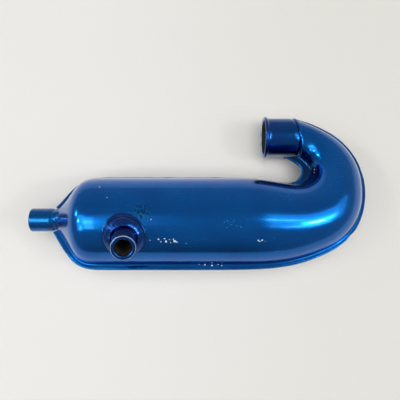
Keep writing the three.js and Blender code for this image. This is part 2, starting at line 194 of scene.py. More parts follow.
def rounded(points, radius, steps=5):
    """Rounds the corners of a closed 2-D outline. radius is one number, or one for each corner."""
    pts = [np.asarray(p, float) for p in points]
    n = len(pts)
    rs = radius if hasattr(radius, "__len__") else [radius] * n
    out = []
    for i in range(n):
        p, a, b = pts[i], pts[i - 1], pts[(i + 1) % n]
        r = rs[i]
        if r <= 0:
            out.append(p)
            continue
        u, v = unit(a - p), unit(b - p)
        half = math.acos(np.clip(np.dot(u, v), -1, 1)) / 2
        if abs(math.pi / 2 - half) < 1e-3:
            out.append(p)
            continue
        t = min(r / math.tan(half), 0.48 * np.linalg.norm(a - p), 0.48 * np.linalg.norm(b - p))
        s, e = p + u * t, p + v * t
        for k in range(steps + 1):
            f = k / steps
            out.append((1 - f) ** 2 * s + 2 * f * (1 - f) * p + f ** 2 * e)
    return np.array(out)


def dense(outline, step):
    """Adds points along the long straight runs of a closed outline."""
    out = []
    n = len(outline)
    for i in range(n):
        a, b = outline[i], outline[(i + 1) % n]
        k = max(1, int(np.linalg.norm(b - a) / step))
        for j in range(k):
            out.append(a + (b - a) * j / k)
    return np.array(out)


# ------------------------------------------------------------------ camera
# The photograph's viewing angle: almost straight down, close to the part.
def row(p):
    return Vector(p) / 1000


CAM_D, CAM_TAU, CAM_F = 179.0, math.radians(7.0), 430.0
SHIFT_Y = ORIGIN[1] + 8.9  # the fitted camera stood over the chamber axis plus this
cam_pos = np.array([ORIGIN[0], -CAM_D * math.sin(CAM_TAU) + SHIFT_Y, 18 + CAM_D * math.cos(CAM_TAU)])
cam = bpy.data.cameras.new("camera")
cam.sensor_width = 36.0
cam.lens = 36.0 * CAM_F / 400.0
cam.clip_start = 0.005
cam.clip_end = 20
cam_ob = bpy.data.objects.new("camera", cam)
bpy.context.scene.collection.objects.link(cam_ob)
cam_ob.location = row(cam_pos)
cam_ob.rotation_euler = (CAM_TAU, 0, 0)
bpy.context.scene.camera = cam_ob

# ------------------------------------------------------------------ materials
def new_material(name):
    m = bpy.data.materials.new(name)
    m.use_nodes = True
    nt = m.node_tree
    return m, nt, nt.nodes["Principled BSDF"]


def node(nt, kind, **kw):
    n = nt.nodes.new(kind)
    for k, v in kw.items():
        if k.startswith("in_"):
            key = k[3:]
            n.inputs[int(key) if key.isdigit() else key].default_value = v
        else:
            setattr(n, k, v)
    return n


def mm_coords(nt):
    """The piece's own coordinates in millimetres, which move with it."""
    tc = node(nt, "ShaderNodeTexCoord")
    sc = node(nt, "ShaderNodeVectorMath", operation="SCALE")
    sc.inputs["Scale"].default_value = 1000.0
    nt.links.new(tc.outputs["Object"], sc.inputs[0])
    return sc.outputs[0]


def noise_at(nt, vec, size, detail=3.0, rough=0.55, distortion=0.0):
    """Noise whose features are about size mm across."""
    n = node(nt, "ShaderNodeTexNoise")
    n.inputs["Scale"].default_value = 1.0 / size
    n.inputs["Detail"].default_value = detail
    n.inputs["Roughness"].default_value = rough
    n.inputs["Distortion"].default_value = distortion
    nt.links.new(vec, n.inputs["Vector"])
    return n


def ramp(nt, fac, lo, hi, a=0.0, b=1.0):
    r = node(nt, "ShaderNodeMapRange", interpolation_type="SMOOTHSTEP")
    r.inputs["From Min"].default_value = lo
    r.inputs["From Max"].default_value = hi
    r.inputs["To Min"].default_value = a
    r.inputs["To Max"].default_value = b
    nt.links.new(fac, r.inputs["Value"])
    return r.outputs[0]


def mix_colour(nt, fac, a, b):
    m = node(nt, "ShaderNodeMix", data_type="RGBA")
    for sock, val in ((m.inputs["Factor"], fac), (m.inputs[6], a), (m.inputs[7], b)):
        if isinstance(val, bpy.types.NodeSocket):
            nt.links.new(val, sock)
        else:
            sock.default_value = val
    return m.outputs[2]


def mix_value(nt, fac, a, b):
    m = node(nt, "ShaderNodeMix", data_type="FLOAT")
    for sock, val in ((m.inputs[0], fac), (m.inputs[2], a), (m.inputs[3], b)):
        if isinstance(val, bpy.types.NodeSocket):
            nt.links.new(val, sock)
        else:
            sock.default_value = val
    return m.outputs[0]


def math_node(nt, op, a, b=None):
    m = node(nt, "ShaderNodeMath", operation=op)
    for sock, val in ((m.inputs[0], a), (m.inputs[1], b)):
        if val is None:
            continue
        if isinstance(val, bpy.types.NodeSocket):
            nt.links.new(val, sock)
        else:
            sock.default_value = val
    return m.outputs[0]


def specks(nt, vec, marks, ragged=0.35):
    """1 inside any of the marks [(x, y, z, radius)] in mm, with ragged edges."""
    n = noise_at(nt, vec, 0.55, 2.0)
    off = node(nt, "ShaderNodeVectorMath", operation="SUBTRACT")
    nt.links.new(n.outputs["Color"], off.inputs[0])
    off.inputs[1].default_value = (0.5, 0.5, 0.5)
    sc = node(nt, "ShaderNodeVectorMath", operation="SCALE")
    sc.inputs["Scale"].default_value = ragged * 2.2
    nt.links.new(off.outputs[0], sc.inputs[0])
    add = node(nt, "ShaderNodeVectorMath", operation="ADD")
    nt.links.new(vec, add.inputs[0])
    nt.links.new(sc.outputs[0], add.inputs[1])
    total = None
    for x, y, z, r in marks:
        d = node(nt, "ShaderNodeVectorMath", operation="DISTANCE")
        nt.links.new(add.outputs[0], d.inputs[0])
        d.inputs[1].default_value = (x, y, z)
        v = ramp(nt, d.outputs["Value"], r * 1.15, r * 0.8)
        total = v if total is None else math_node(nt, "MAXIMUM", total, v)
    return total


def region(nt, vec, centre, radius, soft=0.35):
    d = node(nt, "ShaderNodeVectorMath", operation="DISTANCE")
    nt.links.new(vec, d.inputs[0])
    d.inputs[1].default_value = centre
    return ramp(nt, d.outputs["Value"], radius, radius * (1 - soft))


def lacquered(name, dark, light, rough=0.27, coat_ior=1.22, chips=(), worn=(), tint=None, orange=1.0,
              pits=(), rust=(), flakes=0.0):
    """Clear tinted lacquer over bright pressed sheet: coloured metal under a thin glossy coat."""
    m, nt, bs = new_material(name)
    mm = mm_coords(nt)
    broad = noise_at(nt, mm, 16.0, 3.0)
    fine = noise_at(nt, mm, 1.9, 3.0)
    colour = mix_colour(nt, ramp(nt, broad.outputs["Fac"], 0.3, 0.7), dark, light)
    # lacquer that pooled a little thicker here and there
    colour = mix_colour(nt, ramp(nt, fine.outputs["Fac"], 0.40, 0.85, 0.0, 0.22), colour,
                        (dark[0], dark[1] * 0.75, dark[2] * 0.8, 1))
    r = ramp(nt, fine.outputs["Fac"], 0.25, 0.8, rough * 0.88, rough * 1.16)
    # hairline scuffs, only where a broad noise lets them be
    wave = node(nt, "ShaderNodeTexNoise")
    st = node(nt, "ShaderNodeMapping")
    st.inputs["Rotation"].default_value = (0.3, 0.2, 0.5)
    st.inputs["Scale"].default_value = (0.12, 2.6, 2.6)
    nt.links.new(mm, st.inputs["Vector"])
    nt.links.new(st.outputs[0], wave.inputs["Vector"])
    wave.inputs["Scale"].default_value = 1.0
    wave.inputs["Detail"].default_value = 1.0
    scuff = math_node(nt, "MULTIPLY", ramp(nt, wave.outputs["Fac"], 0.665, 0.71), ramp(nt, broad.outputs["Fac"], 0.48, 0.62))
    colour = mix_colour(nt, math_node(nt, "MULTIPLY", scuff, 0.14), colour, (0.05, 0.25, 0.55, 1))
    r = mix_value(nt, math_node(nt, "MULTIPLY", scuff, 0.6), r, 0.42)
    height = math_node(nt, "MULTIPLY", fine.outputs["Fac"], 0.35)
    peel = noise_at(nt, mm, 0.75, 2.0)
    height = math_node(nt, "ADD", height, math_node(nt, "MULTIPLY", peel.outputs["Fac"], 0.10 * orange))
    metal = None
    # colour regions: heat tint, and painted shade where a region stands in for shadow
    if tint:
        for centre, radius, col, amount in tint:
            colour = mix_colour(nt, math_node(nt, "MULTIPLY", region(nt, mm, centre, radius, 0.6), amount), colour, col)
    if pits:
        vor = node(nt, "ShaderNodeTexVoronoi")
        vor.inputs["Scale"].default_value = 1.25
        nt.links.new(mm, vor.inputs["Vector"])
        for centre, radius in pits:
            where = region(nt, mm, centre, radius, 0.5)
            hole = math_node(nt, "MULTIPLY", ramp(nt, vor.outputs["Distance"], 0.50, 0.26), where)
            edge = math_node(nt, "MULTIPLY", ramp(nt, vor.outputs["Distance"], 0.52, 0.66), where)
            colour = mix_colour(nt, math_node(nt, "MULTIPLY", hole, 0.95), colour, (0.000, 0.010, 0.035, 1))
            colour = mix_colour(nt, math_node(nt, "MULTIPLY", edge, 0.40), colour, (0.01, 0.22, 0.36, 1))
            height = math_node(nt, "SUBTRACT", height, math_node(nt, "MULTIPLY", hole, 0.9))
    if rust:
        spots = specks(nt, mm, rust, 0.5)
        grain = noise_at(nt, mm, 0.35, 2.0)
        rustc = mix_colour(nt, grain.outputs["Fac"], (0.05, 0.010, 0.012, 1), (0.20, 0.06, 0.05, 1))
        colour = mix_colour(nt, math_node(nt, "MULTIPLY", spots, 0.9), colour, rustc)
        r = mix_value(nt, spots, r, 0.75)
        height = math_node(nt, "SUBTRACT", height, math_node(nt, "MULTIPLY", spots, 0.6))
    if chips:
        bare = specks(nt, mm, chips)
        colour = mix_colour(nt, bare, colour, (0.66, 0.74, 0.80, 1))
        r = mix_value(nt, bare, r, 0.52)
        nt.links.new(math_node(nt, "SUBTRACT", 1.0, math_node(nt, "MULTIPLY", bare, 0.75)), bs.inputs["Metallic"])
        height = math_node(nt, "SUBTRACT", height, math_node(nt, "MULTIPLY", bare, 0.8))
    if worn:
        faint = specks(nt, mm, [(x, y, z, q * 0.8) for x, y, z, q in worn], 0.6)
        colour = mix_colour(nt, math_node(nt, "MULTIPLY", faint, 0.32), colour, (0.08, 0.38, 0.70, 1))
        r = mix_value(nt, faint, r, 0.45)
    bump = node(nt, "ShaderNodeBump")
    bump.inputs["Strength"].default_value = 0.5
    bump.inputs["Distance"].default_value = 0.000012
    nt.links.new(height, bump.inputs["Height"])
    nt.links.new(bump.outputs[0], bs.inputs["Normal"])
    cb = node(nt, "ShaderNodeBump")
    cb.inputs["Strength"].default_value = 0.3
    cb.inputs["Distance"].default_value = 0.000010
    nt.links.new(height, cb.inputs["Height"])
    nt.links.new(cb.outputs[0], bs.inputs["Coat Normal"])
    nt.links.new(colour, bs.inputs["Base Color"])
    nt.links.new(r, bs.inputs["Roughness"])
    if not chips:
        bs.inputs["Metallic"].default_value = 1.0
    bs.inputs["Coat Weight"].default_value = 0.9
    bs.inputs["Coat Roughness"].default_value = 0.03
    bs.inputs["Coat IOR"].default_value = coat_ior
    bs.inputs["Coat Tint"].default_value = (1, 1, 1, 1)
    return m


def bare_metal(name, a, b, rough=0.4, size=2.0, metallic=1.0, grain=0.3, bump_mm=0.02):
    m, nt, bs = new_material(name)
    mm = mm_coords(nt)
    n1 = noise_at(nt, mm, size, 4.0)
    n2 = noise_at(nt, mm, size * 0.12, 3.0)
    nt.links.new(mix_colour(nt, ramp(nt, n1.outputs["Fac"], 0.3, 0.7), a, b), bs.inputs["Base Color"])
    both = math_node(nt, "ADD", math_node(nt, "MULTIPLY", n2.outputs["Fac"], grain), n1.outputs["Fac"])
    nt.links.new(ramp(nt, both, 0.3, 1.1, rough * 0.75, min(1.0, rough * 1.4)), bs.inputs["Roughness"])
    bs.inputs["Metallic"].default_value = metallic
    bump = node(nt, "ShaderNodeBump")
    bump.inputs["Strength"].default_value = 0.6
    bump.inputs["Distance"].default_value = bump_mm / 1000
    nt.links.new(both, bump.inputs["Height"])
    nt.links.new(bump.outputs[0], bs.inputs["Normal"])
    return m


BLUE_DARK, BLUE_LIGHT = (0.0, 0.098, 0.40, 1), (0.0, 0.120, 0.45, 1)
# knocks through the lacquer, on the crown of the chamber, in the bend's inside and on the flange
CHIPS = [(-15.89, -21.64, 34.19, 0.28), (-14.95, -22.6, 33.68, 0.22), (-13.6, -21.42, 34.29, 0.25), (-13.0, -22.49, 33.75, 0.42),
         (-11.74, -21.75, 34.13, 0.2), (-11.29, -22.89, 33.52, 0.2), (-10.24, -21.68, 34.17, 0.2), (-9.77, -22.38, 33.81, 0.45),
         (-8.95, -22.75, 33.6, 0.2), (-5.59, -23.22, 33.32, 0.12), (-19.05, -22.12, 33.95, 0.16), (21.57, -22.15, 33.78, 0.33),
         (22.12, -22.52, 33.55, 0.25), (23.0, -22.0, 33.79, 0.32), (24.08, -22.3, 33.57, 0.12), (-39.23, -1.41, 31.06, 0.28),
         (-35.53, -5.95, 34.2, 0.2), (-18.56, -14.4, 35.99, 0.2), (48.04, 8.25, 16.66, 0.3), (47.78, 6.84, 17.27, 0.22),
         (48.02, 9.51, 16.37, 0.16), (1.66, -31.5, 23.07, 0.2), (4.44, -31.66, 23.06, 0.26), (6.82, -31.34, 23.11, 0.2),
         (8.41, -31.74, 23.07, 0.16), (-0.72, -31.42, 23.08, 0.14),
         # and on the sides and belly, where it has been laid down and knocked about
         (-30.0, -13.5, 0.2, 0.4), (-12.0, -10.2, 0.4, 0.3), (5.5, -15.0, 0.1, 0.45), (24.0, -12.1, 0.3, 0.3), (40.0, -22.2, 5.9, 0.35)]
WORN = [(8.6, -15.51, 35.91, 0.35), (10.09, -14.95, 35.96, 0.28), (11.2, -16.25, 35.83, 0.3), (12.32, -14.77, 35.96, 0.35),
        (13.25, -16.43, 35.79, 0.3), (14.55, -15.32, 35.92, 0.25), (14.93, -17.17, 35.66, 0.3), (9.72, -17.35, 35.64, 0.25),
        (22.77, -15.31, 35.7, 0.2), (26.35, -17.14, 35.21, 0.3), (16.07, -13.09, 35.95, 0.2), (-7.77, -18.64, 35.33, 0.2),
        (-20.42, -17.9, 35.52, 0.3), (-18.01, -23.78, 32.97, 0.25), (25.11, -20.45, 34.36, 0.2), (27.81, -21.18, 33.81, 0.2),
        (-21.55, -13.09, 35.98, 0.3), (-20.04, -14.95, 35.96, 0.25)]
NAVY = (0.0, 0.030, 0.15, 1)
shell_mat = lacquered("lacquered_shell", BLUE_DARK, BLUE_LIGHT, 0.19, chips=CHIPS, worn=WORN,
                      pits=[((-21.9, -11.6, 35.9), 4.0)],
                      tint=[((-28.8, -20.0, 31.5), 11.5, NAVY, 0.45),
                            # painted shade: this second region darkens the inside of the bend, where the web lies under
                            # the inlet tube
                            ((42.0, 10.5, 12.0), 12.5, (0.0, 0.016, 0.065, 1), 0.85)])
seam_mat = lacquered("lacquered_seam", (0.001, 0.10, 0.36, 1), (0.004, 0.15, 0.46, 1), 0.20,
                     rust=[(61.19, -19.5, 20.06, 0.75), (62.0, -18.9, 19.9, 0.4)])
tube_mat = lacquered("lacquered_tube", (0.000, 0.058, 0.24, 1), (0.001, 0.072, 0.30, 1), 0.18,
                     tint=[((28.6, 24.2, 12.0), 10.5, (0.012, 0.045, 0.26, 1), 0.5)])
boss_mat = lacquered("lacquered_boss", (0.000, 0.098, 0.34, 1), (0.001, 0.112, 0.38, 1), 0.27,
                     rust=[(-64.83, -8.83, 19.86, 0.25), (-61.74, -17.09, 20.65, 0.55), (-59.98, -16.7, 21.07, 0.5)])
# painted highlight: bright bare-metal colour laid on the inlet lip's front edge and on the outlet rim's outer edge
highlight_edge_mat = bare_metal("painted_highlight_edge", (0.62, 0.66, 0.78, 1), (0.30, 0.42, 0.70, 1), 0.34, 2.6, 0.45, 0.3)
weld_mat = lacquered("lacquered_weld", (0.000, 0.085, 0.32, 1), (0.002, 0.11, 0.38, 1), 0.22,
                     rust=[(-58.83, -15.96, 22.19, 0.5), (-58.6, -16.6, 21.4, 0.35)])
outlet_mat = lacquered("heat_tinted_outlet", (0.000, 0.048, 0.20, 1), (0.006, 0.044, 0.23, 1), 0.20,
                       tint=[((-29.5, -22.3, 38.0), 3.2, (0.030, 0.030, 0.20, 1), 0.45)])
soot_mat = bare_metal("sooty_inside", (0.010, 0.009, 0.008, 1), (0.035, 0.030, 0.026, 1), 0.75, 3.0, 0.35)
sheet_mat = bare_metal("bare_inner_sheet", (0.30, 0.29, 0.28, 1), (0.42, 0.40, 0.37, 1), 0.45, 6.0)
braze_mat = bare_metal("braze_metal", (0.55, 0.38, 0.15, 1), (0.70, 0.52, 0.24, 1), 0.38, 2.0)
screw_mat = bare_metal("black_oxide_screw", (0.018, 0.018, 0.020, 1), (0.045, 0.044, 0.046, 1), 0.42, 1.2, 0.9)

# ------------------------------------------------------------------ half shells
STEPS = 8  # stations to each section of the table


def stations():
    """(row of the table, inset of the dome in mm, shift along the pipe in mm)."""
    ts = np.linspace(0, 28, 28 * STEPS + 1)
    ts = ts[(ts > 0.12) & (ts < 27.84)]
    rows = [(0.12, i, -s) for i, s in ((0.95, 0.30), (0.72, 0.34), (0.38, 0.28), (0.12, 0.15))]
    rows += [(t, 0.0, 0.0) for t in np.concatenate([[0.12], ts, [27.84]])]
    rows += [(27.84, i, s) for i, s in ((0.05, 0.25), (0.16, 0.47), (0.33, 0.66), (0.56, 0.82), (0.85, 0.92), (1.15, 0.95))]
    return rows


def section(t):
    s = spline(t)[0]
    return s[0:2], s[2:4], s[4:6], s[6:8], s[8]


def half_shell(name, sign):
    h, rho, low = 0.83, 0.75, 0.03
    rows = []
    cols = None
    for t, inset, shift in stations():
        O, I, tO, tI, rise = section(t)
        e = unit(O - I)
        c = (O + I) / 2
        along = np.array([-e[1], e[0]])
        O2, I2 = section(min(28.0, t + 0.05))[:2]
        if np.dot((O2 + I2) / 2 - c, along) < 0:
            along = -along
        if t > 27.9:
            pass
        r0 = np.linalg.norm(O - I) / 2
        r = r0 - inset
        b = rise * r
        c = c + along * shift
        tO, tI = tO + along * shift, tI + along * shift
        edge_o, edge_i = c + e * r, c - e * r
        fo, fi = unit(tO - edge_o), unit(tI - edge_i)
        lo_, li_ = np.linalg.norm(tO - edge_o) - 0.42, np.linalg.norm(tI - edge_i) - 0.42
        k = r / max(b, 1e-6)
        # heights as the section would have them if it were round; the inside of the bend is pressed
        # with a wider fillet, so that the web there is a hollow curve
        wide = float(smooth(15.5, 19.5, t))
        hh = h * k
        rr_o, rr_i = rho * k, (rho + 1.75 * wide) * k
        ac_o, ac_i = [math.sqrt((r + q) ** 2 - (hh + q) ** 2) for q in (rr_o, rr_i)]
        th_o, th_i = math.atan2(hh + rr_o, ac_o), math.atan2(hh + rr_i, ac_i)

        def at(a, w, outer):
            """Point at distance a from the centre on one side, w above the seam."""
            edge, f, d = (edge_o, fo, e) if outer else (edge_i, fi, -e)
            p = edge + f * (a - r) if a > r else c + d * a
            return [p[0], p[1], sign * w]

        ring, kind = [], []

        def side(outer):
            ac, rr, th = (ac_o, rr_o, th_o) if outer else (ac_i, rr_i, th_i)
            tip = r + (lo_ if outer else li_)
            if ac > tip - 0.34:  # no flat left: the fillet runs out at the edge
                ac = tip - 0.34
            flat = max(ac, r + 0.02)
            pts = []
            # rounded edge of the flange, inside the bead
            pts.append(at(tip, low, outer))
            pts.append(at(tip, h * 0.55, outer))
            pts.append(at(tip - 0.10, h * 0.88, outer))
            pts.append(at(tip - 0.28, h, outer))
            for q in (0.75, 0.5, 0.25, 0.08, 0.0):
                pts.append(at(flat + (max(tip - 0.28, flat + 0.02) - flat) * q, h, outer))
            n = 7
            for i in range(1, n + 1):  # concave fillet up to the dome
                ang = -math.pi / 2 - (math.pi / 2 - th) * i / n
                pts.append(at(ac + rr * math.cos(ang), (hh + rr + rr * math.sin(ang)) / k, outer))
            return pts

        so = side(True)
        si = side(False)
        n = 58
        dome = []
        for i in range(1, n):
            a = th_o + (math.pi - th_o - th_i) * i / n
            p = c + e * (r * math.cos(a))
            dome.append([p[0], p[1], sign * b * math.sin(a)])
        back = []
        ri, bi = max(r - WALL, 0.3), max(b - WALL, 0.3)
        tip_i, tip_o = r + li_, r + lo_
        for q in (0.66, 0.33):
            back.append(at(ri + (tip_i - ri) * q, low, False))
        m = 34
        for i in range(m + 1):
            a = math.pi - math.pi * i / m
            p = c + e * (ri * math.cos(a))
            back.append([p[0], p[1], sign * max(low, bi * math.sin(a))])
        for q in (0.33, 0.66):
            back.append(at(ri + (tip_o - ri) * q, low, True))
        ring = so + dome + si[::-1] + back
        outside = len(so) + len(dome) + len(si)
        kinds = [0 if j < outside - 1 else 1 for j in range(len(ring))]
        kinds[outside - 1] = 1
        rows.append(ring)
        cols = kinds
    P = np.array(rows)
    return P, cols


def grid_two(name, P, cols, mats, angle=32):
    n, m = P.shape[:2]
    verts = put(P.reshape(-1, 3))
    faces, kinds = [], []
    for i in range(n - 1):
        a, b = i * m, (i + 1) * m
        for j in range(m):
            k = (j + 1) % m
            faces.append((a + j, a + k, b + k, b + j))
            kinds.append(cols[j])
    faces.append(tuple(range(m))[::-1])
    faces.append(tuple(range((n - 1) * m, n * m)))
    kinds += [0, 0]
    V = verts - verts.mean(0)
    if signed_volume(V, faces) < 0:
        faces = [tuple(reversed(f)) for f in faces]
    me = bpy.data.meshes.new(name)
    me.from_pydata([tuple(v) for v in verts], [], faces)
    for mt in mats:
        me.materials.append(mt)
    me.polygons.foreach_set("material_index", kinds)
    me.validate()
    me.update()
    me.shade_smooth()
    me.set_sharp_from_angle(angle=math.radians(angle))
    ob = bpy.data.objects.new(name, me)
    bpy.context.scene.collection.objects.link(ob)
    return ob


def sealed(ob):
    """Closes the needle hole that turning a profile leaves on its axis."""
    bm = bmesh.new()
    bm.from_mesh(ob.data)
    bmesh.ops.remove_doubles(bm, verts=bm.verts, dist=4e-6)
    bmesh.ops.delete(bm, geom=[e for e in bm.edges if not e.link_faces], context="EDGES")
    bm.to_mesh(ob.data)
    bm.free()
    return ob


def cut(ob, cutter, angle=32):
    """Takes the cutter's solid out of the piece and drops the cutter."""
    sealed(cutter)
    mod = ob.modifiers.new("cut", "BOOLEAN")
    mod.operation, mod.object, mod.solver = "DIFFERENCE", cutter, "EXACT"
    dg = bpy.context.evaluated_depsgraph_get()
    me = bpy.data.meshes.new_from_object(ob.evaluated_get(dg))
    ob.modifiers.clear()
    old = ob.data
    ob.data = me
    bpy.data.meshes.remove(old)
    bpy.data.objects.remove(cutter)
    me.shade_smooth()
    me.set_sharp_from_angle(angle=math.radians(angle))


OUT_AXIS = np.array([math.sin(OUTLET_TILT), -math.sin(OUTLET_PHI) * math.cos(OUTLET_TILT),
                     math.cos(OUTLET_PHI) * math.cos(OUTLET_TILT)])
OUT_O = np.array([OUTLET_X, 0.0, 0.0])
OUT_E1 = unit(np.array([1.0, 0, 0]) - OUT_AXIS[0] * OUT_AXIS)  # along the chamber
OUT_E2 = np.cross(OUT_AXIS, OUT_E1)  # across it
OUT_FRAME = (OUT_O, OUT_AXIS, OUT_E1, OUT_E2)

P, cols = half_shell("upper", 1.0)
upper = grid_two("upper_half_shell", P, cols, [shell_mat, soot_mat])
cut(upper, turned("cutter", [(0.001, 10), (3.7, 10), (3.7, 22), (0.001, 22)], OUT_FRAME, 48))
P, cols = half_shell("lower", -1.0)
lower = grid_two("lower_half_shell", P, cols, [shell_mat, soot_mat])


# ------------------------------------------------------------------ fused seams
def seam(name, outer, phase):
    """The fused edge of the two flanges: a rounded bead with the faint ripple of a hand-run weld."""
    rows = []
    ts = np.linspace(0.02, 27.97, 28 * 30)
    m = 20
    dist = 0.0
    last = None
    for t in ts:
        O, I, tO, tI, rise = section(t)
        edge, tip = (O, tO) if outer else (I, tI)
        f = unit(tip - edge)
        if last is not None:
            dist += np.linalg.norm(tip - last)
        last = tip
        wob = noise.noise(Vector((dist / 5.0, phase, 0.3)))
        wob2 = noise.noise(Vector((dist / 1.1, phase + 5, 0.7)))
        ripple = 0.030 * abs(math.sin(math.pi * dist / 0.85 + 0.6 * wob2))
        half_t = 0.52 + 0.05 * wob + 0.03 * wob2 + ripple * 0.6
        half_h = 0.86 + 0.06 * wob + 0.04 * wob2 + ripple
        lump = 0.0
        if outer:
            lump = math.exp(-((t - 18.3) / 0.22) ** 2)
        half_h += 0.22 * lump
        cen = tip - f * (0.50 + 0.30 * lump) + f * 0.02 * wob
        taper = min(1.0, 0.45 + 6 * min(t - 0.02, 27.97 - t))
        lift = 0.06 * wob
        ring = []
        for j in range(m):
            a = 2 * math.pi * j / m
            ca, sa = math.cos(a), math.sin(a)
            # flatter where it meets the flanges, rounder outside
            out = half_t * ca * (1.0 if ca > 0 else 1.25)
            p = cen + f * min(out * taper, 0.5 + 0.30 * lump)
            ring.append([p[0], p[1], half_h * taper * math.copysign(abs(sa) ** 0.85, sa) + lift])
        rows.append(ring)
    return grid(name, np.array(rows), ring=True, angle=50)


outer_seam = seam("outer_seam_bead", True, 2.0)
inner_seam = seam("inner_seam_bead", False, 9.0)

# ------------------------------------------------------------------ inlet tube
INLET_FRAME = ((0, INLET_V, 0), (1, 0, 0), (0, 1, 0), (0, 0, 1))
MITRE = math.tan(JOINT_TILT)


def mitred(r, d, t):
    """Slants the joint end of a profile along X to the plane of the joint."""
    share = smooth(33.0, JOINT_X - 1.5, d)
    return r, d - MITRE * r * math.cos(t) * share


inlet_profile = [
    (INLET_BORE_R, 28.75), (INLET_BORE_R + 0.10, 28.40), (INLET_BORE_R + 0.34, 28.12), (INLET_BORE_R + 0.70, 28.0),
    (8.35, 28.0), (8.62, 28.05), (8.85, 28.18), (9.02, 28.38), (LIP_R, 28.64), (9.08, 28.90), (8.97, 29.14),
    (8.80, 29.36), (8.62, 29.58), (8.49, 29.86), (8.41, 30.2), (8.37, 30.6), (INLET_R, 31.1), (INLET_R, 32.5), (INLET_R, 34.0),
    (INLET_R, 36.0), (INLET_R, 38.0), (INLET_R, 39.6), (8.34, 40.2), (8.30, 40.7), (8.23, 41.15), (8.13, 41.55),
    (7.98, 41.95), (7.78, 42.25), (7.5, 42.5), (7.1, JOINT_X), (6.9, JOINT_X), (6.9, 42.2), (7.2, 41.0), (7.4, 39.0), (INLET_BORE_R, 37.0),
    (INLET_BORE_R, 34.0), (INLET_BORE_R, 31.0)]


def inlet_shape(r, d, t):
    # a hand-rolled lip is never quite even
    lipw = smooth(29.6, 28.6, d)
    r = r + lipw * 0.035 * math.sin(2 * t + 0.7) + lipw * 0.02 * math.sin(5 * t)
    return mitred(np.minimum(r, 9.1), d, t)


inlet = turned("inlet_tube_rolled", inlet_profile, INLET_FRAME, 144, inlet_shape)
inlet.data.materials.append(tube_mat)
inlet.data.materials.append(soot_mat)
inlet.data.materials.append(highlight_edge_mat)
for p in inlet.data.polygons:  # the bore is soot, from just inside the lip; the lip's front edge gets a painted highlight in bright bare-metal colour
    c = p.center
    y0, z0 = put((0, INLET_V, 0))[1:]
    r = math.hypot(c.y - y0, c.z - z0) * 1000
    if r < INLET_BORE_R + 0.06:
        p.material_index = 1
    elif r < 8.2 and c.x < put((28.35, 0, 0))[0]:
        p.material_index = 2


def ring_bead(name, centre_r, frame_of, d0, minor, segs, wob, seed, mitre=False, squash=1.0, m=16, heavy=None):
    """A weld ring round an axis: minor radius, with lumps and puddle marks."""
    o, a, e1, e2 = [np.asarray(x, float) for x in frame_of]
    P = np.empty((segs, m, 3))
    for i in range(segs):
        t = 2 * math.pi * i / segs
        e = math.cos(t) * e1 + math.sin(t) * e2
        q = np.array([math.cos(t) * 2.5, math.sin(t) * 2.5, seed])
        big = noise.noise(Vector(q))
        small = noise.noise(Vector(q * 4.1))
        marks = abs(math.sin(t * segs / 14.0 + small))
        k = minor * (1 + wob * (0.7 * big + 0.35 * small + 0.3 * marks))
        if heavy:  # the weld is built up thicker on one side
            away = (t - heavy[0] + math.pi) % (2 * math.pi) - math.pi
            k *= 1 + heavy[2] * math.exp(-(away / heavy[1]) ** 2)
        shift = -MITRE * centre_r * math.cos(t) if mitre else 0.0
        for j in range(m):
            u = 2 * math.pi * j / m
            P[i, j] = o + a * (d0 + shift + k * math.sin(u) * squash) + e * (centre_r + k * math.cos(u))
    return grid(name, P, loop=True, angle=60)


inlet_bead = ring_bead("inlet_joint_bead", 7.95, INLET_FRAME, JOINT_X + 0.05, 0.50, 224, 0.16, 4.0, mitre=True, squash=1.0,
                       heavy=(math.pi, 0.62, 1.0))

# ------------------------------------------------------------------ outlet tube and its collar
outlet_profile = [
    (2.95, 29.2), (2.95, 30.3), (3.0, 30.52), (3.12, 30.72), (3.30, 30.86), (3.5, 30.93), (3.75, 30.97), (4.0, 31.0),
    (4.16, 30.98), (4.30, 30.90), (4.40, 30.77), (4.44, 30.6), (OUTLET_R, 30.35), (OUTLET_R, 29.2), (OUTLET_R, 27.6), (OUTLET_R, 25.6),
    (OUTLET_R, 23.8), (4.46, 22.6), (4.5, 21.6), (4.5, 19.5), (4.45, 16.0), (4.45, 14.0), (2.95, 14.0), (2.95, 17.0),
    (2.95, 20.0), (2.95, 23.0), (2.95, 26.0)]


def outlet_shape(r, d, t):
    rim = smooth(29.6, 30.6, d)
    return r + rim * 0.02 * math.sin(3 * t + 1.0) - rim * 0.05 * np.clip(math.cos(t - 2.3) - 0.8, 0, 1), d


outlet = turned("outlet_tube_turned", outlet_profile, OUT_FRAME, 120, outlet_shape)
outlet.data.materials.append(outlet_mat)
outlet.data.materials.append(soot_mat)
outlet.data.materials.append(highlight_edge_mat)
axis_o, axis_d = put(OUT_O), unit(put(OUT_O + OUT_AXIS) - put(OUT_O))
for p in outlet.data.polygons:
    c = np.array(p.center) - axis_o
    along = float(np.dot(c, axis_d))
    r = np.linalg.norm(c - along * axis_d) * 1000
    if r < 3.02 and along < 30.4 / 1000:
        p.material_index = 1
    # painted highlight: the rim's outer edge takes the bright bare-metal colour
    elif 4.28 < r and 0.0306 < along:
        p.material_index = 2


def surface_height(rad, t):
    """Distance along the outlet axis at which the point (rad, t) meets the chamber wall."""
    off = rad * (math.cos(t) * OUT_E1 + math.sin(t) * OUT_E2)
    a, o = OUT_AXIS[1:], (OUT_O + off)[1:]
    A, B, C = a @ a, 2 * a @ o, o @ o - CHAMBER_R ** 2
    return (-B + math.sqrt(max(B * B - 4 * A * C, 0))) / (2 * A)


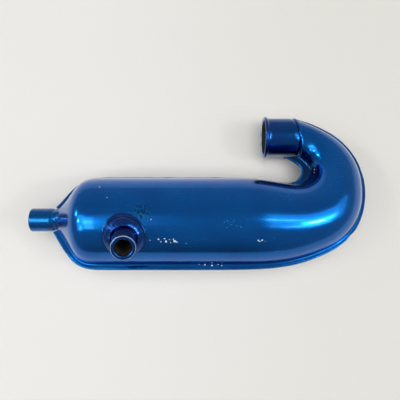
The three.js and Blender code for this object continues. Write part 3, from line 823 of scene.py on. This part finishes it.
def collar():
    """A thick built-up weld: a convex ring standing on the chamber, rolled in towards the tube."""
    segs, rows = 168, []
    for i in range(segs):
        t = 2 * math.pi * i / segs
        q = np.array([math.cos(t) * 2.2, math.sin(t) * 2.2, 11.3])
        big, small = noise.noise(Vector(q)), noise.noise(Vector(q * 3.7))
        top = 21.25 + 0.18 * big + 0.05 * small
        wide = 7.62 + 0.10 * big + 0.05 * small
        base = surface_height(wide, t)
        # flank from the wall up: (share of radius from the wide edge in, share of height)
        foot = surface_height(wide + 0.75, t)
        prof = [(wide + 0.80, foot - 0.30, 0), (wide + 0.75, foot + 0.01, 0)]
        shoulder = top - 1.05
        for k in range(1, 7):  # hollow fillet off the chamber wall
            u = k / 6 * math.radians(72)
            prof.append((wide + 0.75 - 0.85 * math.sin(u), foot + (base - foot) * min(1, k / 4) + 0.85 * (1 - math.cos(u)), 0.4))
        r0, z0 = prof[-1][0], prof[-1][1]
        rad = max(0.35, min(1.15, (shoulder - z0) * 0.75))
        prof.append((r0 - 0.04, max(z0 + 0.05, shoulder - rad), 1))
        rs = r0 - 0.04
        for k in range(1, 8):  # round shoulder
            u = k / 7 * math.radians(68)
            prof.append((rs - rad * (1 - math.cos(u)), max(z0 + 0.05, shoulder - rad) + rad * math.sin(u), 1))
        ra, za = prof[-1][0], prof[-1][1]
        for k in range(1, 9):  # shallow, slightly crowned top
            f = k / 8
            prof.append((ra + (5.15 - ra) * f, za + (top - za) * (f + 0.10 * math.sin(math.pi * f)), 1))
        prof += [(4.98, top - 0.03, 1), (4.84, top - 0.14, 1), (4.72, top - 0.32, 1), (4.62, top - 0.48, 1), (4.52, top - 0.50, 1), (4.42, top - 0.46, 1),
                 (4.30, top - 1.8, 0), (4.30, 16.6, 0), (6.0, 15.4, 0)]
        e = math.cos(t) * OUT_E1 + math.sin(t) * OUT_E2
        ring = []
        for j, (r, d, w) in enumerate(prof):
            lump = 0.16 * noise.noise(Vector((math.cos(t) * r * 0.42, math.sin(t) * r * 0.42, d * 0.42 + 7))) \
                + 0.022 * math.sin(t * 17 + 1.3 * math.sin(d)) * max(0, 1 - abs(d - z0 - 0.8) / 2.2)
            ring.append(OUT_O + OUT_AXIS * (d + w * lump * 0.5) + e * (r + w * lump))
        rows.append(ring)
    return grid("outlet_collar_weld", np.array(rows), loop=True, angle=60)


collar_ob = collar()

# ------------------------------------------------------------------ hanger boss, its welds and set screw
BOSS_FRAME = ((0, BOSS_V, 0), (1, 0, 0), (0, 1, 0), (0, 0, 1))
boss_profile = [
    (0.001, -60.1 + 1.2), (2.05, -60.1), (2.05, -63.0), (2.05, -66.0), (2.05, -68.6), (2.07, -69.0), (2.16, -69.25), (2.32, -69.40), (2.5, -69.46),
    (3.0, BOSS_X0 + 0.01), (3.6, BOSS_X0), (4.1, BOSS_X0), (4.35, BOSS_X0 + 0.03), (4.55, BOSS_X0 + 0.11), (4.69, BOSS_X0 + 0.23),
    (4.77, BOSS_X0 + 0.40), (4.8, BOSS_X0 + 0.62), (4.8, BOSS_X0 + 1.4), (4.8, -66.0), (4.8, -64.0), (4.8, -62.0), (4.8, -61.3),
    (4.79, -60.9), (4.74, -60.55), (4.64, -60.2), (4.50, -59.85), (4.36, -59.4), (4.30, -58.6), (4.28, -57.6), (4.1, -57.2), (0.001, -57.2)]
boss = sealed(turned("hanger_boss_turned", boss_profile, BOSS_FRAME, 120))
SCREW_FRAME = ((SCREW_X, BOSS_V, 0), (0, 1, 0), (0, 0, 1), (1, 0, 0))
cut(boss, turned("cutter", [(0.001, 0.4), (1.5, 0.4), (1.5, 4.25), (1.85, 4.72), (1.9, 6.0), (0.001, 6.0)], SCREW_FRAME, 40))
boss.data.materials.clear()
boss.data.materials.append(boss_mat)
boss.data.materials.append(soot_mat)
for p in boss.data.polygons:
    c = p.center
    y0, z0 = put((0, BOSS_V, 0))[1:]
    if math.hypot(c.y - y0, c.z - z0) < 2.2 / 1000 and c.x > put((BOSS_X0 + 0.5, 0, 0))[0]:
        p.material_index = 1


def boss_weld(name, sign, seed):
    """Weld run round the boss on one side of the flanges: a fat blob in the middle, thin at the ends."""
    rows, n, m = [], 96, 20
    for i in range(n):
        s = i / (n - 1)
        t = math.radians(15 + 150 * s)
        q = np.array([math.cos(t) * 2.0, math.sin(t) * 2.0, seed])
        big, small = noise.noise(Vector(q)), noise.noise(Vector(q * 4.3))
        ends = math.sin(math.pi * s) ** 0.4
        mid = math.exp(-((math.degrees(t) - 88) / 30) ** 4)
        left = (0.45 + 0.65 * ends + 0.75 * mid) * (1 + 0.14 * big + 0.08 * small)
        right = (0.55 + 0.35 * ends + 1.25 * mid) * (1 + 0.12 * big + 0.05 * small)
        high = (0.42 + 0.20 * ends + 0.28 * mid) * (1 + 0.15 * big + 0.08 * small)
        ring = []
        for j in range(m):
            u = 2 * math.pi * j / m
            cu, su = math.cos(u), math.sin(u)
            d = -58.5 + (right if su > 0 else left) * su
            # the run lies in the corner between the boss and the shoulder of the shells
            lean = max(0.0, d + 58.3) * 0.62
            rr = 4.36 + lean + (high if cu > 0 else 0.5) * cu
            ring.append([d, BOSS_V + rr * math.cos(t), sign * rr * math.sin(t)])
        rows.append(ring)
    return grid(name, np.array(rows), angle=60)


weld_up = boss_weld("boss_weld_run_upper", 1.0, 3.3)
weld_low = boss_weld("boss_weld_run_lower", -1.0, 8.8)


def grub_screw():
    m = 48
    rows = []
    ang = [2 * math.pi * j / m for j in range(m)]
    pitch, depth = 0.5, 0.16

    def ring(rf, d):
        return [[SCREW_X + rf(t) * math.sin(t), BOSS_V + d, rf(t) * math.cos(t)] for t in ang]

    lo, hi = SCREW_TOP - SCREW_LEN, SCREW_TOP
    rows.append(ring(lambda t: 0.25, lo + 0.20))  # cup point
    rows.append(ring(lambda t: 0.62, lo))
    rows.append(ring(lambda t: 0.78, lo + 0.04))
    rows.append(ring(lambda t: 1.10, lo + 0.34))
    for d in np.arange(lo + 0.40, hi - 0.22, 0.045):
        def thread(t, d=d):
            ph = ((d / pitch) - t / (2 * math.pi)) % 1.0
            tri = 1 - abs(2 * ph - 1)
            fade = smooth(lo + 0.35, lo + 0.6, d) * smooth(hi - 0.2, hi - 0.4, d)
            return 1.12 + 0.17 * float(np.clip(tri * 1.5 - 0.15, 0, 1)) * float(fade) + (1 - float(fade)) * 0.05
        rows.append(ring(thread, d))
    rows.append(ring(lambda t: 1.18, hi - 0.16))
    rows.append(ring(lambda t: 1.10, hi - 0.02))
    rows.append(ring(lambda t: 1.06, hi))

    def hexa(t, s=1.0):
        f = (t % (math.pi / 3)) - math.pi / 6
        return 0.62 * s / math.cos(f)
    rows.append(ring(lambda t: hexa(t, 1.07), hi))
    rows.append(ring(lambda t: hexa(t), hi - 0.06))
    rows.append(ring(lambda t: hexa(t), hi - 0.7))
    rows.append(ring(lambda t: hexa(t), hi - 1.35))
    rows.append(ring(lambda t: 0.18, hi - 1.6))
    return grid("grub_screw_threaded", np.array(rows), angle=28)


screw = grub_screw()

# ------------------------------------------------------------------ sealed inside
AX = ((0, 0, 0), (1, 0, 0), (0, 1, 0), (0, 0, 1))
slope = (16.7 - 4.65) / 19.0
cone_profile = rounded([(16.7, 8.0), (15.9, 8.0), (15.9, 4.7), (3.85, -13.9), (3.85, -14.0), (4.65, -14.0), (16.7, 5.0)],
                       [0.15, 0.15, 1.5, 0.0, 0.1, 0.1, 1.8], 5)
cone = turned("reflector_cone_spun", dense(cone_profile, 1.2), AX, 128)
transfer = turned("transfer_tube_drawn", dense(rounded([(2.6, -24.0), (2.6, -10.5), (3.5, -10.5), (3.5, -24.0)], 0.2, 3), 1.0), AX, 96)
braze = ring_bead("transfer_braze_ring", 4.1, AX, -14.95, 0.75, 160, 0.12, 6.0)


def tack(name, deg):
    a = math.radians(deg)
    verts_rows = []
    o = np.array([9.0, 15.95 * math.cos(a), 15.95 * math.sin(a)])
    n, m = 14, 24
    for i in range(n):
        u = math.pi * (i + 0.5) / n
        ring = []
        for j in range(m):
            t = 2 * math.pi * j / m
            d = np.array([math.cos(u), math.sin(u) * math.cos(t), math.sin(u) * math.sin(t)])
            k = 0.78 * (1 + 0.16 * noise.noise(Vector(d * 1.7 + deg)))
            ring.append(o + d * k * np.array([1.0, 0.9, 0.9]))
        verts_rows.append(ring)
    return grid(name, np.array(verts_rows), angle=60)


tacks = [tack(f"cone_tack_{i + 1}", d) for i, d in enumerate((-150, -90, -30))]

# ------------------------------------------------------------------ finish of each piece, and what it stands for
for ob, body, nodes, slot, mat in (
        (upper, "pipe", ("upper_shell",), "shell_blue", None),
        (lower, "pipe", ("lower_shell",), "shell_blue", None),
        (outer_seam, "pipe", ("outer_seam_weld",), "seam_weld", seam_mat),
        (inner_seam, "pipe", ("inner_seam_weld",), "seam_weld", seam_mat),
        (inlet, "pipe", ("inlet_tube",), "tube_blue", None),
        (inlet_bead, "pipe", ("inlet_weld_bead",), "seam_weld", weld_mat),
        (outlet, "pipe", ("outlet_tube",), "outlet_tint", None),
        (collar_ob, "pipe", ("outlet_weld_bead",), "outlet_tint", outlet_mat),
        (boss, "pipe", ("hanger_boss",), "tube_blue", None),
        (weld_up, "pipe", ("boss_weld_upper",), "seam_weld", weld_mat),
        (weld_low, "pipe", ("boss_weld_lower",), "seam_weld", weld_mat),
        (screw, "set_screw", ("grub_screw",), "screw_black", screw_mat),
        (cone, "pipe", ("reflector_cone",), "inner_sheet", sheet_mat),
        (transfer, "pipe", ("transfer_tube",), "inner_sheet", sheet_mat),
        (braze, "pipe", ("transfer_tube_braze",), "braze", braze_mat),
        (tacks[0], "pipe", ("cone_tack_weld_1",), "inner_sheet", sheet_mat),
        (tacks[1], "pipe", ("cone_tack_weld_2",), "inner_sheet", sheet_mat),
        (tacks[2], "pipe", ("cone_tack_weld_3",), "inner_sheet", sheet_mat)):
    if mat is not None:
        ob.data.materials.clear()
        ob.data.materials.append(mat)
    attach(ob, body)
    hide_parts(*nodes)

# ------------------------------------------------------------------ floor
floor_me = bpy.data.meshes.new("floor")
floor_me.from_pydata([(-3, -3, 0), (3, -3, 0), (3, 3, 0), (-3, 3, 0)], [], [(0, 1, 2, 3)])
floor = bpy.data.objects.new("floor", floor_me)
bpy.context.scene.collection.objects.link(floor)
m, nt, bs = new_material("pale_floor")
mm = mm_coords(nt)
soft = noise_at(nt, mm, 60.0, 2.0)
sep = node(nt, "ShaderNodeSeparateXYZ")
nt.links.new(mm, sep.inputs[0])
# painted shade: the floor's colour darkens and warms towards +X, standing in for the light falling off on that side
across = ramp(nt, sep.outputs["X"], -90, 90)
base = mix_colour(nt, across, (0.735, 0.715, 0.690, 1), (0.660, 0.642, 0.602, 1))
nt.links.new(mix_colour(nt, ramp(nt, soft.outputs["Fac"], 0.3, 0.7, 0, 0.03), base, (0.70, 0.69, 0.68, 1)), bs.inputs["Base Color"])
bs.inputs["Roughness"].default_value = 0.65
bs.inputs["Specular IOR Level"].default_value = 0.25
floor_me.materials.append(m)

# ------------------------------------------------------------------ light
world = bpy.data.worlds.new("studio")
bpy.context.scene.world = world
world.use_nodes = True
wt = world.node_tree
bg = wt.nodes["Background"]
tc = node(wt, "ShaderNodeTexCoord")
sp = node(wt, "ShaderNodeSeparateXYZ")
wt.links.new(tc.outputs["Generated"], sp.inputs[0])
half_y = math_node(wt, "MULTIPLY_ADD", sp.outputs["Y"], 0.5)
half_y.node.inputs[2].default_value = 0.5
sky = node(wt, "ShaderNodeValToRGB")
wt.links.new(half_y, sky.inputs[0])
# the room: a darker wall on the near side, a paler one behind
SKY = ((0.0, 0.15), (0.015, 0.25), (0.06, 0.34), (0.12, 0.41), (0.35, 0.46), (0.5, 0.47), (0.75, 0.43), (0.97, 0.50), (1.0, 0.50))
while len(sky.color_ramp.elements) < len(SKY):
    sky.color_ramp.elements.new(0.5)
for el, (pos, val) in zip(sky.color_ramp.elements, SKY):
    el.position = pos
    el.color = (val, val * 1.01, val * 1.03, 1)
wt.links.new(sky.outputs[0], bg.inputs["Color"])
bg.inputs["Strength"].default_value = 1.0


def lamp(name, direction, width, depth, radiance, distance=2.5, colour=(1, 1, 1), glossy=True, diffuse=True, spin=0.0):
    """A soft panel seen from the part in a direction, width x depth in degrees."""
    d = Vector(direction).normalized()
    li = bpy.data.lights.new(name, "AREA")
    li.shape = "RECTANGLE"
    li.size = 2 * distance * math.tan(math.radians(width) / 2)
    li.size_y = 2 * distance * math.tan(math.radians(depth) / 2)
    li.energy = 4 * li.size * li.size_y * radiance
    li.color = colour
    ob = bpy.data.objects.new(name, li)
    bpy.context.scene.collection.objects.link(ob)
    ob.location = Vector((0.02, -0.005, 0.02)) + d * distance
    z = d
    x = Vector((0, 1, 0)).cross(z).normalized() if abs(z.y) < 0.95 else Vector((1, 0, 0))
    y = z.cross(x).normalized()
    ob.matrix_world = Matrix.Translation(ob.location) @ Matrix((x, y, z)).transposed().to_4x4() @ Matrix.Rotation(math.radians(spin), 4, "Z")
    ob.visible_camera = False
    ob.visible_glossy = glossy
    ob.visible_diffuse = diffuse
    return ob


def polar(deg_x, deg_y):
    """Direction tilted from straight up by degrees toward +X and toward +Y."""
    return (math.tan(math.radians(deg_x)), math.tan(math.radians(deg_y)), 1.0)


COOL = (0.62, 1.02, 1.0)
GREENISH = (0.90, 1.28, 1.0)  # the bright reflections in the photo lean to turquoise
world.cycles_visibility.diffuse = False  # the room shows in the metal; the lamps light the floor

lamp("panel_right", polar(33, -2), 30, 34, 1.15, colour=COOL, diffuse=False)
lamp("panel_right_far", polar(54, 8), 18, 36, 0.6, colour=COOL, diffuse=False)
lamp("strip_right", polar(27, 1.5), 22, 2.2, 7.0, colour=GREENISH, diffuse=False)
lamp("spot_right", polar(42, -10), 3.2, 2.0, 130.0, diffuse=False)
lamp("glow_right", (0.70, -0.09, 0.70), 13, 11, 2.6, colour=GREENISH, diffuse=False)
lamp("strip_right_low", polar(40, -19), 22, 1.5, 8.0, colour=GREENISH, diffuse=False)
lamp("panel_left", (-0.62, -0.10, 0.76), 24, 34, 1.5, colour=COOL, diffuse=False)
lamp("panel_left_near", polar(-24, -2), 14, 15, 2.3, colour=COOL, diffuse=False)
lamp("glow_left", polar(-12, -2), 12, 26, 0.25, colour=COOL, diffuse=False)
lamp("spot_left_1", (-0.70, -0.04, 0.71), 4, 4, 36.0, colour=GREENISH, diffuse=False)
lamp("spot_left_2", (-0.84, 0.22, 0.50), 5, 5, 26.0, colour=GREENISH, diffuse=False)
lamp("spot_left_3", (-0.58, -0.32, 0.75), 3, 3, 30.0, colour=GREENISH, diffuse=False)
lamp("glow_boss", polar(-22, -13), 9, 20, 2.8, colour=GREENISH, diffuse=False)
for side, d, w, h, r in (("strip_a", polar(27, 1.5), 22, 2.0, 7.5), ("spot_a", (0.72, -0.10, 0.68), 3.2, 2.0, 130.0),
                         ("strip_b", polar(40, -19), 22, 1.5, 9.0), ("spot_b", (-0.70, -0.04, 0.71), 4, 4, 36.0),
                         ("spot_c", (-0.84, 0.22, 0.50), 3, 3, 26.0), ("spot_d", (-0.58, -0.32, 0.75), 3, 3, 30.0),
                         ("panel_a", polar(33, -2), 30, 34, 1.15), ("panel_b", polar(54, 8), 18, 36, 0.6),
                         ("panel_c", (-0.62, -0.10, 0.76), 24, 34, 1.5), ("panel_d", polar(-24, -2), 14, 15, 2.3)):
    lamp("white_" + side, d, w, h, r, glossy=False)  # the same lights as the table sees them
lamp("fill_over", (0.02, -0.05, 1.0), 40, 40, 3.95, glossy=False)
lamp("fill_right", (0.80, -0.30, 0.60), 40, 40, 0.55, glossy=False)
lamp("fill_left", (-0.60, -0.25, 0.75), 40, 40, 0.60, glossy=False)

bpy.context.scene.view_settings.view_transform = "Standard"
bpy.context.scene.view_settings.look = "None"
